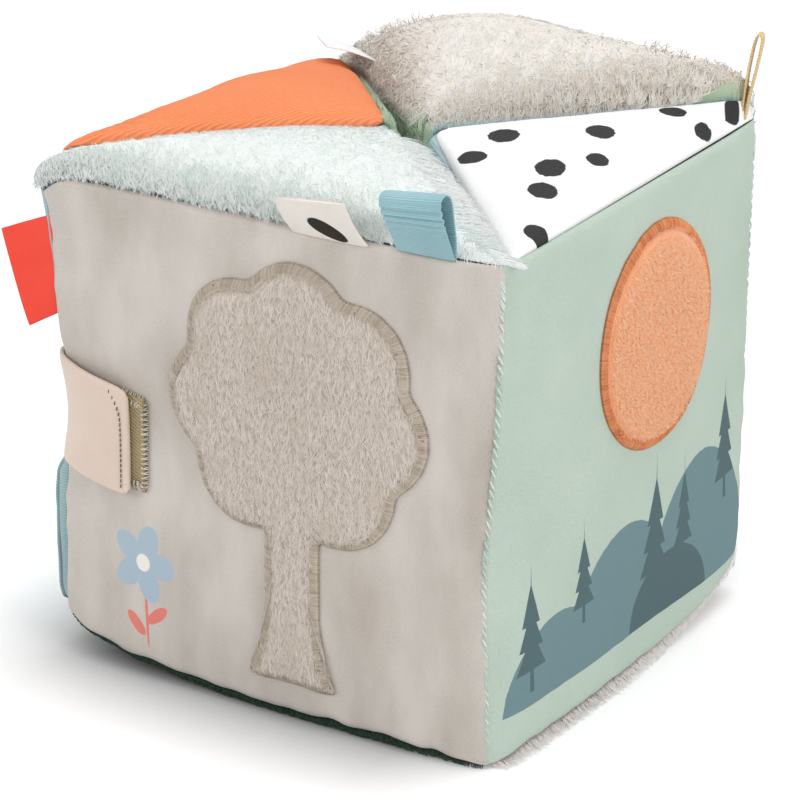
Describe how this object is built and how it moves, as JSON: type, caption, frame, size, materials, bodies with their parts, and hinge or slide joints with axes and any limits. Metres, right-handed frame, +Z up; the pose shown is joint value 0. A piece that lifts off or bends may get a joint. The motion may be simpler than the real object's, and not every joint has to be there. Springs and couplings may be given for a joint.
{
  "type": "folding activity cube",
  "caption": "Soft stuffed activity cube made of wedge cushions joined by sewn hinges, closed by a strap, with plush pictures, ribbon loops and tags.",
  "frame": {"origin": "on the floor, in the middle of the closed toy's bounding box", "axes": "+Z up with the cube standing on its bottoms; -Y is the front face with the plush tree; +X is the right face with the plush sun"},
  "size_m": [0.1716, 0.1626, 0.1802],
  "materials": {
    "greige_satin": "light greige polyester satin with a soft sheen",
    "mint_plush": "mint-white plush pile",
    "spotted_cotton": "white cotton printed with irregular black spots",
    "cream_fur": "curly cream long-pile fur",
    "orange_twill": "orange ribbed twill",
    "sage_cotton": "plain woven sage-green cotton",
    "slate_cotton": "plain woven slate cotton",
    "teal_velour": "short-pile teal velour",
    "green_cotton": "light green cotton, fuzzy near the middle",
    "forest_plush": "dark green plush pile",
    "pink_plush": "pale pink plush pile",
    "filling": "white polyester fibre filling",
    "beige_plush": "beige short-pile plush with satin-stitched edge",
    "orange_plush": "orange short-pile plush with stitched ring",
    "peach_satin": "doubled peach-beige satin",
    "olive_tape": "olive-brown ribbed hook-and-loop tape, zigzag sewn",
    "blue_ribbon": "dusty blue grosgrain ribbon",
    "gold_ribbon": "beige-gold ribbed ribbon",
    "red_satin": "plain red satin tape",
    "white_satin": "plain white satin tape",
    "thread": "blue-grey whipstitched cotton thread",
    "casing": "translucent white polyethylene"
  },
  "bodies": {
    "right_cushion": {"right_stuffing": "filling", "right_outer_panel": "sage_cotton", "right_top_panel": "spotted_cotton", "right_bottom_panel": "pink_plush", "right_inner_left_panel": "teal_velour", "right_inner_right_panel": "teal_velour", "squeaker_case": "casing", "sun_applique": "orange_plush", "hanging_loop": "gold_ribbon", "front_hinge_thread": "thread", "back_hinge_thread": "thread"},
    "front_cushion": {"front_stuffing": "filling", "front_outer_panel": "greige_satin", "front_top_panel": "mint_plush", "front_bottom_panel": "forest_plush", "front_inner_left_panel": "teal_velour", "front_inner_right_panel": "teal_velour", "rattle_case": "casing", "tree_applique": "beige_plush", "strap_loop_tape": "olive_tape", "dotted_tag": "spotted_cotton", "blue_ribbon_loop": "blue_ribbon", "red_side_tag": "red_satin"},
    "back_cushion": {"back_stuffing": "filling", "back_outer_panel": "slate_cotton", "back_top_panel": "cream_fur", "back_bottom_panel": "mint_plush", "back_inner_left_panel": "green_cotton", "back_inner_right_panel": "green_cotton", "left_hinge_thread": "thread"},
    "left_cushion": {"left_stuffing": "filling", "left_outer_panel": "teal_velour", "left_top_panel": "orange_twill", "left_bottom_panel": "sage_cotton", "left_inner_left_panel": "green_cotton", "left_inner_right_panel": "teal_velour", "blank_label": "white_satin"},
    "strap": {"closing_strap": "peach_satin", "strap_hook_tape": "olive_tape"}
  },
  "joints": [
    {"name": "front_fold", "type": "hinge", "parent": "right_cushion", "child": "front_cushion", "pos_m": [0.07913, -0.07281, 0.075], "axis": [0, 0, 1], "range_deg": [0, 180]},
    {"name": "back_fold", "type": "hinge", "parent": "right_cushion", "child": "back_cushion", "pos_m": [0.07913, 0.07839, 0.075], "axis": [0, 0, -1], "range_deg": [0, 180]},
    {"name": "left_fold", "type": "hinge", "parent": "back_cushion", "child": "left_cushion", "pos_m": [-0.07208, 0.07839, 0.075], "axis": [0, 0, -1], "range_deg": [0, 180]},
    {"name": "strap_open", "type": "hinge", "parent": "left_cushion", "child": "strap", "pos_m": [-0.07532, -0.04721, 0.073], "axis": [0, 0, -1], "range_deg": [0, 110], "deforming": ["closing_strap", "strap_hook_tape"]}
  ]
}
